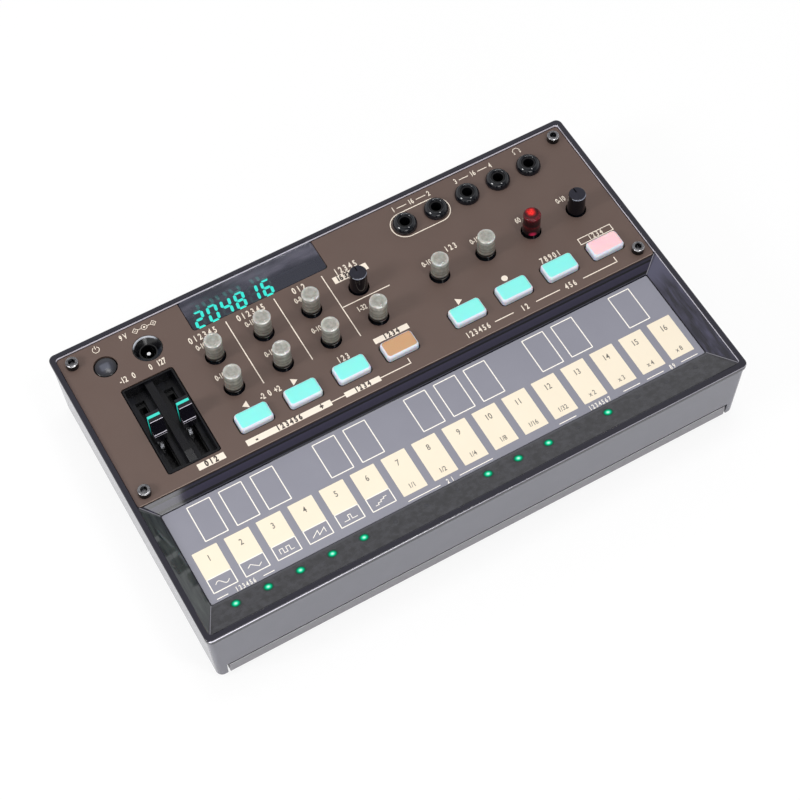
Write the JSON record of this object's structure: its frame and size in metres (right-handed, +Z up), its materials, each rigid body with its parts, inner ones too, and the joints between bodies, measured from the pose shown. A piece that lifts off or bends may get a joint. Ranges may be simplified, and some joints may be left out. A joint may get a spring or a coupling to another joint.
{
  "type": "desktop synthesizer",
  "caption": "Small desktop synthesizer with a smoked tray, a touch keyboard well, knobs, push buttons, two sliders and top sockets.",
  "frame": {"origin": "on the table, under the centre of the case", "axes": "+X from the slider end to the volume end, +Y from the keyboard to the sockets, +Z up"},
  "size_m": [0.193, 0.115, 0.039],
  "materials": {
    "smoked_tray": "smoked grey, polished",
    "panel_paint": "warm brown-grey paint, fine satin",
    "smoked_window": "smoked clear, polished",
    "display_black": "gloss black",
    "screw_steel": "dark nickel plate",
    "sheet_grey": "printed film, satin",
    "board_green": "glass-fibre board with green solder mask",
    "led_lens": "clear resin",
    "black_moulding": "black moulding, fine texture",
    "pot_metal": "zinc-plated sheet",
    "clear_knob": "frosted clear moulding",
    "black_knob": "black moulding, satin",
    "shaft_metal": "turned metal",
    "clear_button": "milky clear moulding, painted top",
    "tan_button": "milky moulding, tan top",
    "pink_button": "milky moulding, pink top",
    "grey_button": "satin moulding",
    "socket_black": "black moulding",
    "collar_gloss": "polished black nut",
    "case_silver": "metallic silver-grey paint",
    "cover_grey": "fine textured moulding",
    "foot_rubber": "moulded rubber",
    "cell_can": null,
    "contact_plate": "nickel-plated spring steel",
    "speaker_metal": "plated sheet",
    "cone_paper": "pressed paper"
  },
  "bodies": {
    "case": {"top_frame": "smoked_tray", "top_panel": "panel_paint", "display_window": "smoked_window", "display_module": "display_black", "panel_screws": "screw_steel", "touch_sheet": "sheet_grey", "touch_board": "board_green", "step_leds": "led_lens", "control_board": "board_green", "main_board": "board_green", "board_connector": "black_moulding", "main_chips": "black_moulding", "board_screws": "screw_steel", "pot_bodies": "pot_metal", "button_switches": "black_moulding", "power_switch": "black_moulding", "slider_well": "black_moulding", "slide_pots": "pot_metal", "jack_sockets": "socket_black", "jack_collars": "collar_gloss", "dc_socket": "socket_black", "main_housing": "case_silver", "bottom_cover": "cover_grey", "bottom_screws": "screw_steel", "rubber_feet": "foot_rubber", "battery_cells": "cell_can", "cell_contacts": "contact_plate", "speaker_frame": "speaker_metal", "speaker_cone": "cone_paper"},
    "mod_attack_dial": {"mod_attack_knob": "clear_knob"},
    "mod_decay_dial": {"mod_decay_knob": "clear_knob"},
    "carrier_attack_dial": {"carrier_attack_knob": "clear_knob"},
    "carrier_decay_dial": {"carrier_decay_knob": "clear_knob"},
    "lfo_rate_dial": {"lfo_rate_knob": "clear_knob"},
    "lfo_depth_dial": {"lfo_depth_knob": "clear_knob"},
    "algorithm_dial": {"algorithm_knob": "clear_knob"},
    "arp_type_dial": {"arp_type_knob": "clear_knob"},
    "arp_div_dial": {"arp_div_knob": "clear_knob"},
    "tempo_dial": {"tempo_knob": "clear_knob"},
    "program_dial": {"program_knob": "black_knob", "program_shaft": "shaft_metal"},
    "volume_dial": {"volume_knob": "black_knob", "volume_shaft": "shaft_metal"},
    "octave_down_button": {"octave_down_button": "clear_button"},
    "octave_up_button": {"octave_up_button": "clear_button"},
    "save_button": {"save_button": "clear_button"},
    "edit_button": {"edit_button": "tan_button"},
    "play_button": {"play_button": "clear_button"},
    "record_button": {"record_button": "clear_button"},
    "memory_button": {"memory_button": "clear_button"},
    "function_button": {"function_button": "pink_button"},
    "power_button": {"power_button": "grey_button"},
    "left_slider": {"left_slider_cap": "smoked_tray", "left_slider_lever": "pot_metal"},
    "right_slider": {"right_slider_cap": "smoked_tray", "right_slider_lever": "pot_metal"},
    "battery_door": {"battery_door": "cover_grey"}
  },
  "joints": [
    {"name": "mod_attack_turn", "type": "hinge", "parent": "case", "child": "mod_attack_dial", "pos_m": [-0.04895, 0.03155, 0.0294], "axis": [0, 0, 1], "range_deg": [-140, 140]},
    {"name": "mod_decay_turn", "type": "hinge", "parent": "case", "child": "mod_decay_dial", "pos_m": [-0.04895, 0.0182, 0.0294], "axis": [0, 0, 1], "range_deg": [-140, 140]},
    {"name": "carrier_attack_turn", "type": "hinge", "parent": "case", "child": "carrier_attack_dial", "pos_m": [-0.0314, 0.03155, 0.0294], "axis": [0, 0, 1], "range_deg": [-140, 140]},
    {"name": "carrier_decay_turn", "type": "hinge", "parent": "case", "child": "carrier_decay_dial", "pos_m": [-0.0314, 0.0182, 0.0294], "axis": [0, 0, 1], "range_deg": [-140, 140]},
    {"name": "lfo_rate_turn", "type": "hinge", "parent": "case", "child": "lfo_rate_dial", "pos_m": [-0.01385, 0.03155, 0.0294], "axis": [0, 0, 1], "range_deg": [-140, 140]},
    {"name": "lfo_depth_turn", "type": "hinge", "parent": "case", "child": "lfo_depth_dial", "pos_m": [-0.01385, 0.0182, 0.0294], "axis": [0, 0, 1], "range_deg": [-140, 140]},
    {"name": "algorithm_turn", "type": "hinge", "parent": "case", "child": "algorithm_dial", "pos_m": [0.0037, 0.0182, 0.0294], "axis": [0, 0, 1], "range_deg": [-140, 140]},
    {"name": "arp_type_turn", "type": "hinge", "parent": "case", "child": "arp_type_dial", "pos_m": [0.029, 0.0224, 0.0294], "axis": [0, 0, 1], "range_deg": [-140, 140]},
    {"name": "arp_div_turn", "type": "hinge", "parent": "case", "child": "arp_div_dial", "pos_m": [0.04655, 0.0224, 0.0294], "axis": [0, 0, 1], "range_deg": [-140, 140]},
    {"name": "tempo_turn", "type": "hinge", "parent": "case", "child": "tempo_dial", "pos_m": [0.0641, 0.0224, 0.0294], "axis": [0, 0, 1], "range_deg": [-140, 140]},
    {"name": "program_turn", "type": "hinge", "parent": "case", "child": "program_dial", "pos_m": [0.0037, 0.03155, 0.0294], "axis": [0, 0, 1], "range_deg": [-140, 140]},
    {"name": "volume_turn", "type": "hinge", "parent": "case", "child": "volume_dial", "pos_m": [0.08165, 0.0224, 0.0294], "axis": [0, 0, 1], "range_deg": [-140, 140]},
    {"name": "octave_down_press", "type": "slide", "parent": "case", "child": "octave_down_button", "axis": [0, 0, -1], "range_m": [0, 0.0008], "stiffness_N_per_m": 900, "springref_m": -0.0004},
    {"name": "octave_up_press", "type": "slide", "parent": "case", "child": "octave_up_button", "axis": [0, 0, -1], "range_m": [0, 0.0008], "stiffness_N_per_m": 900, "springref_m": -0.0004},
    {"name": "save_press", "type": "slide", "parent": "case", "child": "save_button", "axis": [0, 0, -1], "range_m": [0, 0.0008], "stiffness_N_per_m": 900, "springref_m": -0.0004},
    {"name": "edit_press", "type": "slide", "parent": "case", "child": "edit_button", "axis": [0, 0, -1], "range_m": [0, 0.0008], "stiffness_N_per_m": 900, "springref_m": -0.0004},
    {"name": "play_press", "type": "slide", "parent": "case", "child": "play_button", "axis": [0, 0, -1], "range_m": [0, 0.0008], "stiffness_N_per_m": 900, "springref_m": -0.0004},
    {"name": "record_press", "type": "slide", "parent": "case", "child": "record_button", "axis": [0, 0, -1], "range_m": [0, 0.0008], "stiffness_N_per_m": 900, "springref_m": -0.0004},
    {"name": "memory_press", "type": "slide", "parent": "case", "child": "memory_button", "axis": [0, 0, -1], "range_m": [0, 0.0008], "stiffness_N_per_m": 900, "springref_m": -0.0004},
    {"name": "function_press", "type": "slide", "parent": "case", "child": "function_button", "axis": [0, 0, -1], "range_m": [0, 0.0008], "stiffness_N_per_m": 900, "springref_m": -0.0004},
    {"name": "power_press", "type": "slide", "parent": "case", "child": "power_button", "axis": [0, 0, -1], "range_m": [0, 0.0015], "stiffness_N_per_m": 900, "springref_m": -0.0004},
    {"name": "left_slider_travel", "type": "slide", "parent": "case", "child": "left_slider", "axis": [0, 1, 0], "range_m": [-0.01, 0.01]},
    {"name": "right_slider_travel", "type": "slide", "parent": "case", "child": "right_slider", "axis": [0, 1, 0], "range_m": [-0.01, 0.01]},
    {"name": "battery_door_slide", "type": "slide", "parent": "case", "child": "battery_door", "axis": [1, 0, 0], "range_m": [0, 0.005]}
  ]
}
